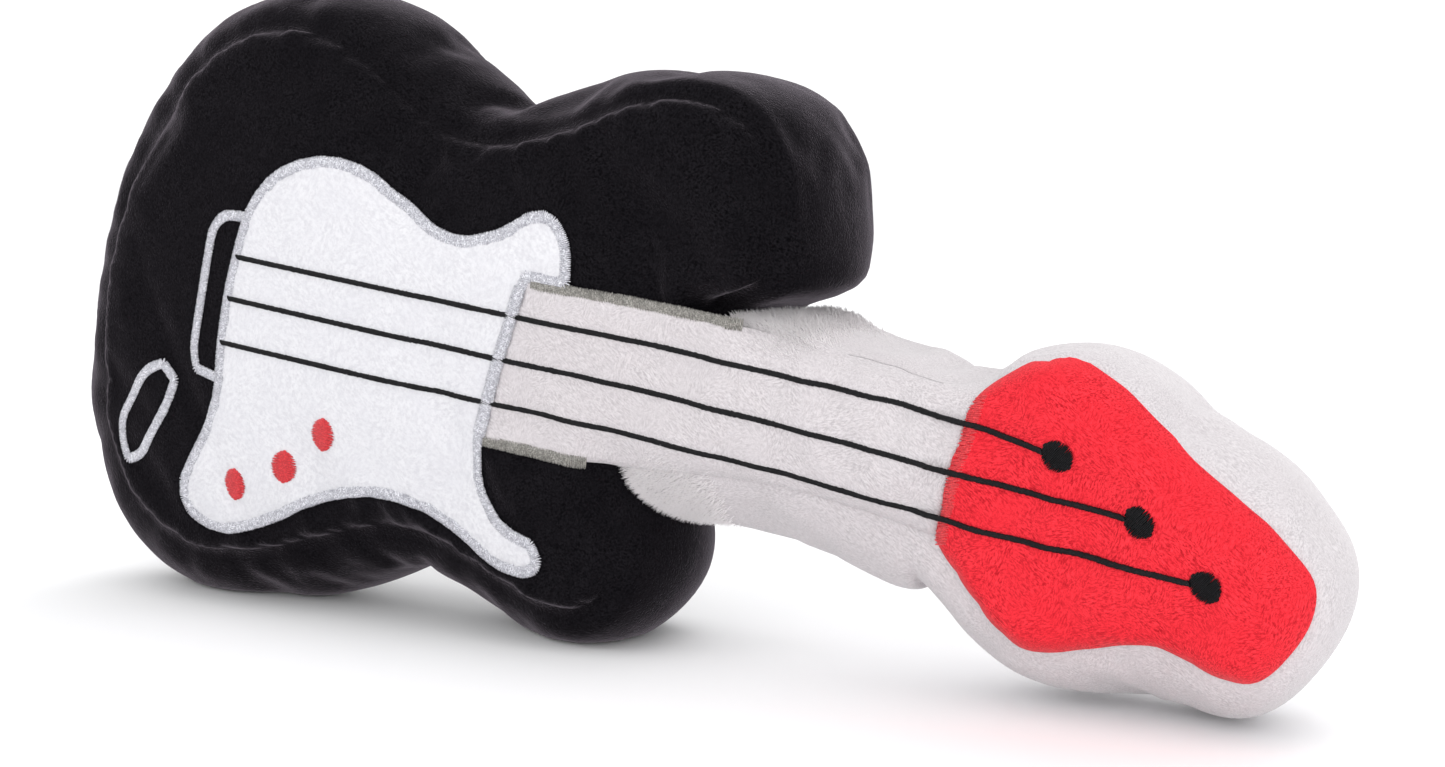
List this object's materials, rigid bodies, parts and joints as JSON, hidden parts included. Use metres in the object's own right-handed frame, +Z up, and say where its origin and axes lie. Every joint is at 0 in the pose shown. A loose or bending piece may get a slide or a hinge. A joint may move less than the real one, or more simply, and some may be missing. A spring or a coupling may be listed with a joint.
{
  "type": "toy electric guitar",
  "caption": "Stuffed plush toy electric guitar: black body, white pickguard patch, grey neck, grey head with a red panel, satin-stitched strings and dots; the neck bends softly.",
  "frame": {"origin": "on the floor under the middle of the toy's bounding box, as it stands on its lower edge", "axes": "+X towards the head, -Y out of the front face with the strings, +Z up"},
  "size_m": [0.4811, 0.075, 0.2235],
  "materials": {
    "black_plush": "black short-pile plush with a soft sheen",
    "white_plush": "white short-pile plush, slightly mottled nap",
    "grey_plush": "light grey minky plush with a combed nap",
    "red_plush": "red minky plush with a combed nap",
    "fibre_filling": "white polyester fibre filling, not visible",
    "silver_thread": "lustrous silver-grey satin stitch",
    "black_thread": "black embroidery thread",
    "red_thread": "red embroidery thread"
  },
  "bodies": {
    "body": {"body_front_panel": "black_plush", "body_back_panel": "black_plush", "body_lower_side_band": "black_plush", "body_upper_side_band": "black_plush", "body_stuffing": "fibre_filling", "pickguard_applique": "white_plush", "pickguard_border_stitching": "silver_thread", "neck_end_stitching": "silver_thread", "bridge_outline_stitching": "silver_thread", "jack_outline_stitching": "silver_thread", "knob_dot_1": "red_thread", "knob_dot_2": "red_thread", "knob_dot_3": "red_thread", "upper_neck_edge_stitching": "silver_thread", "lower_neck_edge_stitching": "silver_thread"},
    "neck": {"neck_front_panel": "grey_plush", "neck_back_panel": "grey_plush", "neck_upper_side_band": "grey_plush", "neck_lower_side_band": "grey_plush", "neck_stuffing": "fibre_filling", "string_1": "black_thread", "string_2": "black_thread", "string_3": "black_thread"},
    "head": {"head_front_panel": "red_plush", "head_back_panel": "grey_plush", "head_side_band": "grey_plush", "head_stuffing": "fibre_filling", "nut_stitching": "red_thread", "tuner_dot_1": "black_thread", "tuner_dot_2": "black_thread", "tuner_dot_3": "black_thread"}
  },
  "joints": [
    {"name": "neck_flex", "type": "hinge", "parent": "body", "child": "neck", "pos_m": [0.0584, 0.0022, 0.0817], "axis": [0.1322, 0, 0.9912], "range_deg": [-20, 20], "stiffness_Nm_per_rad": 0.6, "deforming": ["neck_front_panel", "neck_back_panel", "neck_upper_side_band", "neck_lower_side_band", "string_1", "string_2", "string_3"]},
    {"name": "head_flex", "type": "hinge", "parent": "neck", "child": "head", "pos_m": [0.1155, 0.0022, 0.071], "axis": [0.2688, 0, 0.9632], "range_deg": [-20, 20], "stiffness_Nm_per_rad": 0.4, "deforming": ["neck_front_panel", "neck_back_panel", "neck_upper_side_band", "neck_lower_side_band", "string_1", "string_2", "string_3"]}
  ]
}
